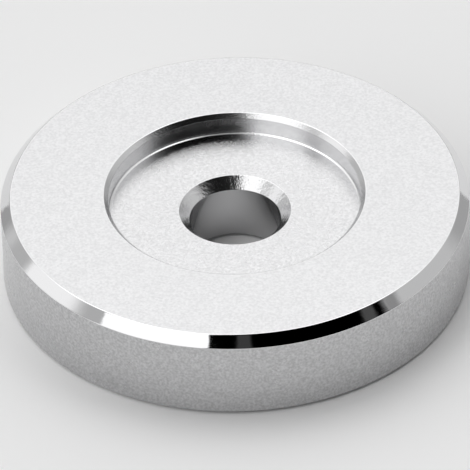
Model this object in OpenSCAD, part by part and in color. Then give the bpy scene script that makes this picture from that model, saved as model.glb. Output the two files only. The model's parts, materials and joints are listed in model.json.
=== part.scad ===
// Adapter disc that centres a single with a large hole on a plain record spindle.
// One piece turned from aluminium bar, blasted all over, with its edges cut bright afterwards.
// Millimetres, +Z up, origin at the middle of the underside.

/* [Disc] */
// Outer diameter, a slip fit in the large hole of a single
disc_d = 38; // [34:0.1:42]
// Height from the underside to the top face
disc_h = 7.5; // [5:0.1:12]
// Bright bevel round the top edge, along each face
top_bevel = 0.8; // [0.2:0.05:1.5]
// Small bevel round the lower edge, along each face
foot_bevel = 0.3; // [0.1:0.05:0.8]

/* [Recess] */
// Diameter of the recess between its upright walls
recess_d = 20.5; // [14:0.1:28]
// Depth of the blasted floor below the top face
recess_depth = 1.8; // [1:0.05:3]
// Bright bevel round the mouth of the recess, along each face
rim_bevel = 0.35; // [0.1:0.05:0.6]
// Width of the bright ring cut along the foot of the wall
ring_w = 0.2; // [0.2:0.05:0.5]
// Depth of the ring's inner edge below the blasted floor
ring_depth = 0.03; // [0.02:0.01:0.1]
// Slope of the bright ring, which rises towards the wall, in degrees
ring_slope = 26; // [20:1:30]
// Radius that the cutter's nose leaves between the ring and the wall
corner_r = 0.1; // [0.05:0.01:0.15]

/* [Bore] */
// Diameter of the bore, a slip fit on the spindle
bore_d = 7.4; // [7.2:0.05:8]
// Bright bevel where the bore opens in the recess floor, along each face
mouth_bevel = 0.85; // [0.3:0.05:1.5]
// Small bevel where the bore opens in the underside, along each face
seat_bevel = 0.3; // [0.1:0.05:0.6]

/* [Hidden] */
$fn = 180;
// How far a cut runs past the face that it opens
past = 1;
disc_r = disc_d / 2;
wall_r = recess_d / 2;
rim_r = wall_r + rim_bevel;
step_r = wall_r - ring_w;
ring_r = step_r + ring_depth;
bore_r = bore_d / 2;
floor_z = disc_h - recess_depth;
ring_z = floor_z - ring_depth;

// Half section of the blank: a plain disc with both outer edges bevelled
module blank_section() {
    polygon([
        [0, 0],
        [disc_r - foot_bevel, 0],
        [disc_r, foot_bevel],
        [disc_r, disc_h - top_bevel],
        [disc_r - top_bevel, disc_h],
        [0, disc_h]
    ]);
}

// Half section of the recess: flat floor, small step down to a ring that rises to the wall,
// rounded corner, upright wall and bevelled mouth
module recess_section() {
    corner_x = wall_r - corner_r;
    corner_z = ring_z + (corner_x - ring_r) * tan(ring_slope) + corner_r / cos(ring_slope);
    corner = [corner_x, corner_z];
    polygon([
        [0, floor_z],
        [step_r, floor_z],
        [ring_r, ring_z],
        corner + corner_r * [sin(ring_slope), -cos(ring_slope)],
        corner,
        [wall_r, corner.y],
        [wall_r, disc_h - rim_bevel],
        [rim_r, disc_h],
        [rim_r + past, disc_h + past],
        [0, disc_h + past]
    ]);
    translate(corner) circle(corner_r);
}

// Half section of the bore: straight wall with a bevel at each mouth
module bore_section() {
    polygon([
        [0, -past],
        [bore_r + seat_bevel + past, -past],
        [bore_r, seat_bevel],
        [bore_r, floor_z - mouth_bevel],
        [bore_r + mouth_bevel + past, floor_z + past],
        [0, floor_z + past]
    ]);
}

// The whole adapter, turned about the Z axis
module adapter() {
    color("gainsboro")
    rotate_extrude() difference() {
        blank_section();
        recess_section();
        bore_section();
    }
}

adapter();
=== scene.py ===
# %% [markdown]
# A turned aluminium disc, dressed for its portrait.
# The object is one solid: a lathe cut it, glass beads blasted it to an even satin, and a diamond tool then
# cut its edges bright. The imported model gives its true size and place, and this script gives it its finish.
# We load that model first, because everything below is set out from it.

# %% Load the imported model
import json
import math

import bpy
from mathutils import Matrix, Vector


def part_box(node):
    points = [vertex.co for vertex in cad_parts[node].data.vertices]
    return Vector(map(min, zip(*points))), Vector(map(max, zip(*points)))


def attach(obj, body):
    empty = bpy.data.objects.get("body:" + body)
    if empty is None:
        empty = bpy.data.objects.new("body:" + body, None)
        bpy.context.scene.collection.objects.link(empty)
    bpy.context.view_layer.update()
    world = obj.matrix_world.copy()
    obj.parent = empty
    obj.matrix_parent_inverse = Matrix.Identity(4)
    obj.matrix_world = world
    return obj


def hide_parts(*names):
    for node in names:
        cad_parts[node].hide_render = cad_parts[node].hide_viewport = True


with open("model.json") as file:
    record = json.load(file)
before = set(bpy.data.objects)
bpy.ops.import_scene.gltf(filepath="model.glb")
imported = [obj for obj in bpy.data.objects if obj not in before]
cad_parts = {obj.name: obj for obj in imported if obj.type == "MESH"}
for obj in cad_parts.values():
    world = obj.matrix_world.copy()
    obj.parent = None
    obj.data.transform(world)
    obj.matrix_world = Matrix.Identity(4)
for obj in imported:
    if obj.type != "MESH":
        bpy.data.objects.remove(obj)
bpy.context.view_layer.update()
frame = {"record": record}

# %% [markdown]
# The sizes of a turned part are few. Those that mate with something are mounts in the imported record, so they
# are read from there, and the height comes from the model's own box. The others repeat the part's own sizes.
# Blender works in metres, so one value turns a millimetre into scene units.

# %% Sizes of the disc
MM = 0.001
mounts = {mount["name"]: mount["dims"] for mount in frame["record"]["mounts"]}
disc_r = mounts["record_hole_rim"]["r_mm"] * MM
bore_r = mounts["spindle_bore"]["r_mm"] * MM
disc_h = (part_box("adapter")[1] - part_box("adapter")[0]).z

top_bevel = 0.8 * MM
foot_bevel = 0.3 * MM
wall_r = 10.25 * MM
recess_depth = 1.8 * MM
rim_bevel = 0.35 * MM
ring_w = 0.2 * MM
ring_depth = 0.03 * MM
ring_slope = math.radians(26)
corner_r = 0.1 * MM
mouth_bevel = 0.85 * MM
seat_bevel = 0.3 * MM
# No tool leaves a perfectly sharp edge: these radii catch a thin line of light. The lips of the top face
# are the roundest, as the blast wore them before the bevels were cut.
lip_r = 0.1 * MM
edge_r = 0.05 * MM
step_edge_r = 0.01 * MM

floor_z = disc_h - recess_depth
ring_z = floor_z - ring_depth
step_r = wall_r - ring_w
ring_r = step_r + ring_depth
# Height at which the ring's slope would meet the wall if the corner were sharp
foot_z = ring_z + (wall_r - ring_r) * math.tan(ring_slope)
print("disc diameter, height and bore in mm:", [round(v / MM, 2) for v in (2 * disc_r, disc_h, 2 * bore_r)])

# %% [markdown]
# The lathe's work is a half section: an outline that is turned about the axis. Each corner of the outline
# says where it is, how round it is, and which finish the run after it has. We could draw the outline as a
# curve and fillet it, but then each flat face would share its normals with the round edge beside it and look
# puffy. So the outline is made point by point, with one extra point close to each side of every round edge,
# which keeps the flat faces flat.

# %% The half section
# The finishes, numbered in the order in which they were made
BLASTED, SHELTERED, SIDE_SHADED, REAMED_SHADED, SUNK, TURNED, BRIGHT = 0, 1, 2, 3, 4, 5, 6
CORNERS = [
    (bore_r + seat_bevel, 0, edge_r, BLASTED),
    (disc_r - foot_bevel, 0, edge_r, SIDE_SHADED),
    (disc_r, foot_bevel, edge_r, SIDE_SHADED),
    (disc_r, disc_h - top_bevel, edge_r, BRIGHT),
    (disc_r - top_bevel, disc_h, lip_r, BLASTED),
    (wall_r + rim_bevel, disc_h, lip_r, TURNED),
    (wall_r, disc_h - rim_bevel, edge_r, TURNED),
    (wall_r, foot_z, corner_r, TURNED),
    (ring_r, ring_z, step_edge_r, TURNED),
    (step_r, floor_z, step_edge_r, SHELTERED),
    (bore_r + mouth_bevel, floor_z, edge_r, SUNK),
    (bore_r, floor_z - mouth_bevel, edge_r, REAMED_SHADED),
    (bore_r, seat_bevel, edge_r, REAMED_SHADED),
]
ARC_STEPS = 4
# Distance from a round edge to the extra point that keeps the flat face beside it flat, and the share of the
# run to the next corner that it may take up at most
HOLD = 0.02 * MM
HOLD_SHARE = 0.2


def round_corner(before, here, after, radius):
    """Points of the arc that rounds the corner at here, with a holding point on either side."""
    back = (before - here).normalized()
    ahead = (after - here).normalized()
    half_angle = back.angle(ahead) / 2
    reach = radius / math.tan(half_angle)
    centre = here + (back + ahead).normalized() * radius / math.sin(half_angle)
    start = here + back * reach - centre
    sweep = math.pi - 2 * half_angle
    turn = 1 if back.cross(ahead) < 0 else -1
    points = [here + back * (reach + min(HOLD, HOLD_SHARE * (before - here).length))]
    for step in range(ARC_STEPS + 1):
        angle = turn * sweep * step / ARC_STEPS
        spin = Vector((
            start.x * math.cos(angle) - start.y * math.sin(angle),
            start.x * math.sin(angle) + start.y * math.cos(angle),
        ))
        points.append(centre + spin)
    points.append(here + ahead * (reach + min(HOLD, HOLD_SHARE * (after - here).length)))
    return points


def half_section():
    """The outline's points, and the finish of the run that starts at each."""
    points, finishes = [], []
    for i, (r, z, radius, finish) in enumerate(CORNERS):
        before = Vector(CORNERS[i - 1][:2])
        after = Vector(CORNERS[(i + 1) % len(CORNERS)][:2])
        arc = round_corner(before, Vector((r, z)), after, radius)
        # The later finish takes the round edge that it shares with the earlier one
        edge_finish = max(finish, CORNERS[i - 1][3])
        points += arc
        finishes += [edge_finish] * (len(arc) - 1) + [finish]
    return points, finishes


section_points, section_finishes = half_section()
print("half section:", len(section_points), "points")

# %% [markdown]
# One helper adds a node, sets it up and wires it. Every tree below, whether it makes a shape or a finish, is
# built with it: settings are the node's own properties, and inputs are either values or other sockets.


# %% Helper for node trees
def add(tree, kind, settings=None, inputs=None):
    """A node of that kind in the tree, with its settings made and its inputs set or linked."""
    node = tree.nodes.new(kind)
    for name, value in (settings or {}).items():
        setattr(node, name, value)
    for key, value in (inputs or {}).items():
        if isinstance(value, bpy.types.NodeSocket):
            tree.links.new(value, node.inputs[key])
        else:
            node.inputs[key].default_value = value
    return node


def srgb(hex_colour):
    """Linear colour with alpha, from an sRGB hex value."""
    channels = [int(hex_colour[i:i + 2], 16) / 255 for i in (1, 3, 5)]
    return [c / 12.92 if c <= 0.04045 else ((c + 0.055) / 1.055) ** 2.4 for c in channels] + [1.0]


# %% [markdown]
# Bead-blasted aluminium. Glass beads a tenth of a millimetre across leave overlapping dimples, so the metal
# is pale, even and satin, with a fine grain but no shine and no tool marks. Three sizes of cell make it: the
# dimples, which tilt the surface by a few degrees; clusters of them, whose floors are a shade paler than the
# burrs between, which is what shows as grain; and slower patches where the nozzle passed. The beads struck
# the faces squarely but only grazed the side, which came out glossier and coarser; its darker tones are
# painted shade. In the recess the wall kept the beads off its own foot: the outermost millimetre of the floor
# stayed smoother, with a ragged edge, and mirrors the wall.


# %% Finish of the blasted faces
DIMPLE = 0.05 * MM
DIMPLE_DEPTH = 0.01 * MM
# Neighbouring dimples run together to the eye, so the tone changes over four times their size. The two
# values are the heights in the clusters' pattern where the darker tone ends and the paler one is full.
CLUSTER = 0.2 * MM
BURR_TO = 0.32
DIMPLE_FROM = 0.68
PATCH = 1.4 * MM
PATCH_SPREAD = 0.02
# The sheltered floor: how wide and how rough it is, how far its ragged edge strays, and how soft that is
SHELTER_W = 1.0 * MM
SHELTER_ROUGHNESS = 0.1
RAGGED = 1.0 * MM
SOFT = 0.4 * MM


def from_axis(tree, place):
    """Distance from the disc's axis."""
    parts = add(tree, "ShaderNodeSeparateXYZ", None, {"Vector": place})
    flat = add(tree, "ShaderNodeCombineXYZ", None, {"X": parts.outputs["X"], "Y": parts.outputs["Y"]})
    length = add(tree, "ShaderNodeVectorMath", {"operation": "LENGTH"}, {0: flat.outputs["Vector"]})
    return length.outputs["Value"]


def blasted_aluminium(name, burr, dimple, satin, shelter_r=None):
    """Bead-blasted aluminium: two tones, a roughness, and the radius where shelter starts, if any."""
    material = bpy.data.materials.new(name)
    material.use_nodes = True
    tree = material.node_tree
    shader = tree.nodes["Principled BSDF"]
    place = add(tree, "ShaderNodeTexCoord").outputs["Object"]
    dimples = add(tree, "ShaderNodeTexNoise", None, {
        "Vector": place, "Scale": 1 / DIMPLE, "Detail": 1.0, "Roughness": 0.5})
    clusters = add(tree, "ShaderNodeTexNoise", None, {
        "Vector": place, "Scale": 1 / CLUSTER, "Detail": 2.0, "Roughness": 0.5})
    patches = add(tree, "ShaderNodeTexNoise", None, {
        "Vector": place, "Scale": 1 / PATCH, "Detail": 3.0, "Roughness": 0.6})
    shade = add(tree, "ShaderNodeMapRange", None, {
        "Value": clusters.outputs["Fac"], "From Min": BURR_TO, "From Max": DIMPLE_FROM})
    tone = add(tree, "ShaderNodeMix", {"data_type": "RGBA"}, {
        "Factor": shade.outputs["Result"], "A": srgb(burr), "B": srgb(dimple)})
    roughness = add(tree, "ShaderNodeMapRange", None, {
        "Value": patches.outputs["Fac"], "To Min": satin - PATCH_SPREAD, "To Max": satin + PATCH_SPREAD,
    }).outputs["Result"]
    if shelter_r:
        ragged = add(tree, "ShaderNodeMath", {"operation": "MULTIPLY_ADD"}, {
            0: clusters.outputs["Fac"], 1: RAGGED, 2: from_axis(tree, place)})
        near = add(tree, "ShaderNodeMapRange", None, {
            "Value": ragged.outputs[0],
            "From Min": shelter_r + (RAGGED - SOFT) / 2, "From Max": shelter_r + (RAGGED + SOFT) / 2})
        roughness = add(tree, "ShaderNodeMix", {"data_type": "FLOAT"}, {
            "Factor": near.outputs["Result"], "A": roughness, "B": SHELTER_ROUGHNESS}).outputs[0]
    grain = add(tree, "ShaderNodeBump", None, {
        "Height": dimples.outputs["Fac"], "Strength": 1.0, "Distance": DIMPLE_DEPTH})
    tree.links.new(tone.outputs[2], shader.inputs["Base Color"])
    tree.links.new(roughness, shader.inputs["Roughness"])
    tree.links.new(grain.outputs["Normal"], shader.inputs["Normal"])
    shader.inputs["Metallic"].default_value = 1.0
    return material


# %% [markdown]
# Bright-cut aluminium. A diamond tool leaves a mirror, broken only by its feed: rings a few hundredths of a
# millimetre apart that smear a reflection slightly across the cut. Their height follows the distance from
# the axis less the height above the floor, so they run round the disc on flats, bevels and walls alike.
# The outer bevel was cut that way. The recess and its countersink were turned with a plain tool, which tears
# the metal a little: fine waves break the edges of what they reflect. So one function makes both finishes.


# %% Finish of the bright cuts
# Drawn about twice as coarse as the real feed, so that the marks still show at this size
FEED = 0.09 * MM
FEED_DEPTH = 0.001 * MM


def feed_rings(tree, place, pitch):
    """Height of tool marks that run round the axis, as far apart as pitch."""
    parts = add(tree, "ShaderNodeSeparateXYZ", None, {"Vector": place})
    travel = add(tree, "ShaderNodeMath", {"operation": "SUBTRACT"}, {
        0: from_axis(tree, place), 1: parts.outputs["Z"]})
    along = add(tree, "ShaderNodeCombineXYZ", None, {"X": travel.outputs["Value"]})
    rings = add(tree, "ShaderNodeTexNoise", {"noise_dimensions": "3D"}, {
        "Vector": along.outputs["Vector"], "Scale": 1 / pitch, "Detail": 1.0})
    return rings.outputs["Fac"]


def bright_cut_aluminium(name, wave, height, roughness):
    """Bright-cut aluminium: a mirror with faint feed rings, and waves of that length and height."""
    material = bpy.data.materials.new(name)
    material.use_nodes = True
    tree = material.node_tree
    shader = tree.nodes["Principled BSDF"]
    place = add(tree, "ShaderNodeTexCoord").outputs["Object"]
    rings = feed_rings(tree, place, FEED)
    waves = add(tree, "ShaderNodeTexNoise", None, {
        "Vector": place, "Scale": 1 / wave, "Detail": 2.0, "Roughness": 0.5})
    wavy = add(tree, "ShaderNodeBump", None, {
        "Height": waves.outputs["Fac"], "Strength": 1.0, "Distance": height})
    cut = add(tree, "ShaderNodeBump", None, {
        "Height": rings, "Strength": 1.0, "Distance": FEED_DEPTH, "Normal": wavy.outputs["Normal"]})
    tree.links.new(cut.outputs["Normal"], shader.inputs["Normal"])
    shader.inputs["Base Color"].default_value = srgb("#E6E6E7")
    shader.inputs["Metallic"].default_value = 1.0
    shader.inputs["Roughness"].default_value = roughness
    return material


# %% [markdown]
# The bore is reamed, not diamond-cut, with deeper and coarser rings, which nobody takes out because only the
# spindle touches them. Its grey tone is painted shade of the deep hole. We see it only where it faces us,
# through its own mouth.


# %% Finish of the bore
REAMER_FEED = 0.12 * MM
REAMER_DEPTH = 0.002 * MM


def reamed_aluminium_painted_shade():
    """Reamed aluminium with marks that run round the bore, its grey tone painted shade inside it."""
    material = bpy.data.materials.new("reamed_aluminium_painted_shade")
    material.use_nodes = True
    tree = material.node_tree
    shader = tree.nodes["Principled BSDF"]
    place = add(tree, "ShaderNodeTexCoord").outputs["Object"]
    rings = feed_rings(tree, place, REAMER_FEED)
    marks = add(tree, "ShaderNodeBump", None, {
        "Height": rings, "Strength": 1.0, "Distance": REAMER_DEPTH})
    tree.links.new(marks.outputs["Normal"], shader.inputs["Normal"])
    # Greyer than the cut faces: painted shade inside the bore.
    shader.inputs["Base Color"].default_value = srgb("#B8B8B9")
    shader.inputs["Metallic"].default_value = 1.0
    shader.inputs["Roughness"].default_value = 0.12
    return material


# %% [markdown]
# Now each finish of the half section gets its material. The blasted ones differ in their tones, where the
# side's and the recess floor's darker tones are painted shade, and in how rough the beads left them. The cut
# ones differ in how long and how high the waves of the torn metal are.

# %% The finishes
FINISHES = {
    BLASTED: blasted_aluminium("bead_blasted_aluminium", "#D3D3D4", "#E2E2E3", 0.38),
    # The recess floor's tones are a shade darker than the top's: painted shade of the recess.
    SHELTERED: blasted_aluminium("blasted_recess_floor", "#D0D0D1", "#DFDFE0", 0.27, wall_r - SHELTER_W),
    # The side's tones are darker than the faces': painted shade on the side.
    SIDE_SHADED: blasted_aluminium("side_aluminium_painted_shade", "#B7B7B8", "#D2D2D3", 0.28),
    REAMED_SHADED: reamed_aluminium_painted_shade(),
    SUNK: bright_cut_aluminium("countersunk_aluminium", 0.25 * MM, 0.03 * MM, 0.2),
    TURNED: bright_cut_aluminium("fine_turned_aluminium", 0.15 * MM, 0.01 * MM, 0.19),
    BRIGHT: bright_cut_aluminium("diamond_cut_aluminium", 1.5 * MM, 0.006 * MM, 0.04),
}
print("finishes:", [material.name for material in FINISHES.values()])

# %% [markdown]
# Now the lathe itself, as a Geometry Nodes tree. It takes the half section as its geometry. A grid is laid
# out with one row for each point of the section and one column for each step round the axis. Every grid
# point then looks up its section point by its row and swings it round the axis by its column. The first and
# last rows and columns meet, and merging them closes the skin. The tree's inputs are the number of steps
# and the finishes, which it gives to the faces by the row that they stand in.

# %% The lathe tree
STEPS_ROUND = 512
# Points closer than this are the same point on the two edges of the grid
SAME = 0.0005 * MM


def lathe_tree():
    """Geometry Nodes group that turns a half section about the Z axis."""
    tree = bpy.data.node_groups.new("lathe", "GeometryNodeTree")
    face = tree.interface
    face.new_socket("Geometry", in_out="INPUT", socket_type="NodeSocketGeometry")
    face.new_socket("Steps round", in_out="INPUT", socket_type="NodeSocketInt")
    for material in FINISHES.values():
        face.new_socket(material.name, in_out="INPUT", socket_type="NodeSocketMaterial")
    face.new_socket("Geometry", in_out="OUTPUT", socket_type="NodeSocketGeometry")
    given = add(tree, "NodeGroupInput").outputs
    section = given["Geometry"]

    def whole(operation, first, second):
        node = add(tree, "FunctionNodeIntegerMath", {"operation": operation}, {0: first, 1: second})
        return node.outputs[0]

    points = add(tree, "GeometryNodeAttributeDomainSize", None, {0: section}).outputs["Point Count"]
    rows = whole("ADD", points, 1)
    columns = whole("ADD", given["Steps round"], 1)
    grid = add(tree, "GeometryNodeMeshGrid", None, {"Vertices X": columns, "Vertices Y": rows})

    number = add(tree, "GeometryNodeInputIndex").outputs[0]
    row = whole("MODULO", whole("MODULO", number, rows), points)
    column = whole("DIVIDE_FLOOR", number, rows)
    part = add(tree, "ShaderNodeMath", {"operation": "DIVIDE"}, {0: column, 1: given["Steps round"]})
    angle = add(tree, "ShaderNodeMath", {"operation": "MULTIPLY"}, {0: part.outputs[0], 1: 2 * math.pi})
    spot = add(tree, "GeometryNodeInputPosition").outputs[0]
    found = add(tree, "GeometryNodeSampleIndex", {"data_type": "FLOAT_VECTOR"}, {
        "Geometry": section, "Value": spot, "Index": row})
    swung = add(tree, "ShaderNodeVectorRotate", {"rotation_type": "Z_AXIS"}, {
        "Vector": found.outputs[0], "Angle": angle.outputs[0]})
    turned = add(tree, "GeometryNodeSetPosition", None, {
        "Geometry": grid.outputs["Mesh"], "Position": swung.outputs[0]})

    finish = add(tree, "GeometryNodeInputNamedAttribute", {"data_type": "INT"}, {"Name": "finish"})
    face_row = whole("MODULO", number, points)
    face_finish = add(tree, "GeometryNodeSampleIndex", {"data_type": "INT"}, {
        "Geometry": section, "Value": finish.outputs["Attribute"], "Index": face_row})
    coated = add(tree, "GeometryNodeSetMaterial", None, {
        "Geometry": turned.outputs[0], "Material": given[FINISHES[BLASTED].name]}).outputs[0]
    for which in (SHELTERED, SIDE_SHADED, REAMED_SHADED, SUNK, TURNED, BRIGHT):
        chosen = add(tree, "FunctionNodeCompare", {"data_type": "INT", "operation": "EQUAL"}, {
            2: face_finish.outputs[0], 3: which})
        coated = add(tree, "GeometryNodeSetMaterial", None, {
            "Geometry": coated, "Selection": chosen.outputs[0],
            "Material": given[FINISHES[which].name]}).outputs[0]
    closed = add(tree, "GeometryNodeMergeByDistance", None, {"Geometry": coated, "Distance": SAME})
    smooth = add(tree, "GeometryNodeSetShadeSmooth", None, {"Geometry": closed.outputs[0]})
    real = add(tree, "GeometryNodeRealizeInstances", None, {"Geometry": smooth.outputs[0]})
    add(tree, "NodeGroupOutput", None, {0: real.outputs[0]})
    return tree


# %% [markdown]
# The half section becomes a mesh of loose points in the XZ plane, each with its finish as an attribute. The
# modifier's inputs are set by their sockets' identifiers before anything is evaluated. Then the evaluated
# result is copied to a plain mesh, which is the finished piece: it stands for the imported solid, rides on the
# same body, and sits at the origin with its place in its mesh.


# %% Turn the disc
def section_object():
    """The half section as loose points with a finish each."""
    mesh = bpy.data.meshes.new("half_section")
    mesh.from_pydata([(p.x, 0, p.y) for p in section_points], [], [])
    marks = mesh.attributes.new("finish", "INT", "POINT")
    marks.data.foreach_set("value", section_finishes)
    blank = bpy.data.objects.new("half_section", mesh)
    bpy.context.scene.collection.objects.link(blank)
    return blank


def turned_disc():
    """The finished disc as a plain mesh."""
    blank = section_object()
    tree = lathe_tree()
    modifier = blank.modifiers.new("lathe", "NODES")
    modifier.node_group = tree
    values = {"Steps round": STEPS_ROUND} | {material.name: material for material in FINISHES.values()}
    for socket in tree.interface.items_tree:
        if socket.in_out == "INPUT" and socket.name in values:
            modifier[socket.identifier] = values[socket.name]
    evaluated = blank.evaluated_get(bpy.context.evaluated_depsgraph_get())
    mesh = bpy.data.meshes.new_from_object(evaluated)
    mesh.name = "turned_disc"
    # The grid started with an empty material slot, which no face uses now
    mesh.materials.pop(index=0)
    disc = bpy.data.objects.new("turned_disc", mesh)
    bpy.context.scene.collection.objects.link(disc)
    bpy.data.objects.remove(blank)
    return disc


disc = turned_disc()
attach(disc, "root")
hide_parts("adapter")
print("turned disc:", len(disc.data.polygons), "faces,", [m.name for m in disc.data.materials])

# %% [markdown]
# The floor is a wide pale disc of matt board. It is only a stage, so it isn't part of the object.

# %% The floor
FLOOR_R = 2.0
FLOOR_SIDES = 96


def studio_floor():
    """A round pale floor just under the object."""
    mesh = bpy.data.meshes.new("floor")
    turns = [2 * math.pi * i / FLOOR_SIDES for i in range(FLOOR_SIDES)]
    rim = [(FLOOR_R * math.cos(turn), FLOOR_R * math.sin(turn), 0) for turn in turns]
    mesh.from_pydata(rim, [], [range(FLOOR_SIDES)])
    floor = bpy.data.objects.new("floor", mesh)
    bpy.context.scene.collection.objects.link(floor)
    material = bpy.data.materials.new("pale_matt_board")
    material.use_nodes = True
    shader = material.node_tree.nodes["Principled BSDF"]
    shader.inputs["Base Color"].default_value = srgb("#F6F6F6")
    shader.inputs["Roughness"].default_value = 0.9
    shader.inputs["Specular IOR Level"].default_value = 0.1
    mesh.materials.append(material)
    return floor


studio_floor()

# %% [markdown]
# Bright metal shows its surroundings and hardly anything else, so the studio matters as much as the finish.
# It is painted on the sky that surrounds the scene: pale all round and brightest overhead, with soft boxes
# on the left, a black screen in front and to the right, a grey side wall, and a dark strip low down behind,
# which draws a thin line along the far lip. Each panel is a patch in bearing and elevation. Bearing 0 is the
# camera's side, and it grows to the right.

# %% The studio
SKY = 1.13
# Each panel: bearing from and to, elevation from and to and softness of its edge in degrees, and brightness.
# A later panel covers an earlier one.
PANELS = [
    # The studio's low horizon, and the dark strip in it behind the disc
    (-200, 200, -90, 9, 10, 0.4),
    (-200, -150, -90, 20, 6, 0.05),
    (150, 200, -90, 20, 6, 0.05),
    # The light overhead, stronger on the left and reaching lower behind, round a grey middle
    (-200, -10, 58, 100, 8, 2.6),
    (-10, 200, 58, 100, 8, 1.2),
    (-200, -110, 50, 78, 8, 2.1),
    (110, 200, 50, 78, 8, 1.9),
    (-200, 200, 78, 100, 6, 0.35),
    # The grey wall on the right, darker at its foot and paler at its top
    (80, 150, 5, 46, 6, 0.6),
    (112, 150, -5, 14, 8, 0.42),
    (98, 138, 31, 60, 6, 0.9),
    # Two soft boxes on the left, with a grey wall behind them and a dim gap between them
    (-150, -111, 9, 30, 8, 0.52),
    (-111, -72, 8, 62, 3, 1.07),
    (-84, -66, 8, 62, 12, 0.5),
    (-71, -16, 14, 72, 0.6, 1.3),
    # The black screen, with its grey edge, a crease in it, and the camera's face
    (-16, 78, 2, 80, 0.6, 0.0),
    (77, 84, 2, 60, 4, 0.3),
    (66, 72, 15, 60, 2, 0.08),
    (-1, 7, 42, 53, 3, 0.05),
]


def studio_sky():
    """A world whose brightness follows the direction."""
    world = bpy.data.worlds.new("studio")
    bpy.context.scene.world = world
    world.use_nodes = True
    tree = world.node_tree
    tree.nodes.clear()
    place = add(tree, "ShaderNodeTexCoord").outputs["Generated"]
    parts = add(tree, "ShaderNodeSeparateXYZ", None, {"Vector": place}).outputs

    def maths(operation, first, second=0.0):
        return add(tree, "ShaderNodeMath", {"operation": operation}, {0: first, 1: second}).outputs[0]

    bearing = maths("DEGREES", maths("ARCTAN2", parts["X"], maths("MULTIPLY", parts["Y"], -1.0)))
    elevation = maths("DEGREES", maths("ARCSINE", parts["Z"]))

    def between(angle, low, high, edge):
        """1 between the two angles and 0 outside them, with soft edges."""
        rise = add(tree, "ShaderNodeMapRange", {"interpolation_type": "SMOOTHSTEP"}, {
            "Value": angle, "From Min": low - edge / 2, "From Max": low + edge / 2})
        fall = add(tree, "ShaderNodeMapRange", {"interpolation_type": "SMOOTHSTEP"}, {
            "Value": angle, "From Min": high + edge / 2, "From Max": high - edge / 2})
        return maths("MULTIPLY", rise.outputs[0], fall.outputs[0])

    level = SKY
    for left, right, low, high, edge, brightness in PANELS:
        patch = maths("MULTIPLY", between(bearing, left, right, edge), between(elevation, low, high, edge))
        level = add(tree, "ShaderNodeMix", {"data_type": "FLOAT"}, {
            "Factor": patch, "A": level, "B": brightness}).outputs[0]
    glow = add(tree, "ShaderNodeBackground", None, {"Color": (1, 1, 1, 1), "Strength": level})
    add(tree, "ShaderNodeOutputWorld", None, {"Surface": glow.outputs[0]})


studio_sky()
print("studio:", len(PANELS), "panels")

# %% [markdown]
# The camera looks down at the disc from half a metre, through a long lens, and is held a little off level.
# These values were found by matching the edges of the disc to the picture.

# %% The camera
DISTANCE = 498.3 * MM
ELEVATION = math.radians(38.42)
ROLL = math.radians(-1.469)
# Focal length and sensor width are plain millimetres, because Blender's camera counts in those
LENS = 469.0
SENSOR = 36.0
# The point in the middle of the picture, close to the disc's axis
AIM = Vector((-0.056, 0, 3.06)) * MM


def make_camera():
    """The camera at the picture's viewing angle."""
    data = bpy.data.cameras.new("camera")
    data.lens = LENS
    data.sensor_width = SENSOR
    data.clip_start = 0.01
    data.clip_end = 10.0
    camera = bpy.data.objects.new("camera", data)
    bpy.context.scene.collection.objects.link(camera)
    camera.location = AIM + Vector((0, -math.cos(ELEVATION), math.sin(ELEVATION))) * DISTANCE
    look = (AIM - camera.location).to_track_quat("-Z", "Y").to_matrix().to_4x4()
    camera.matrix_world = Matrix.Translation(camera.location) @ look @ Matrix.Rotation(ROLL, 4, "Z")
    bpy.context.scene.camera = camera


make_camera()
bpy.context.scene.view_settings.view_transform = "Standard"
print("camera at, in mm:", [round(v / MM, 1) for v in bpy.context.scene.camera.location])
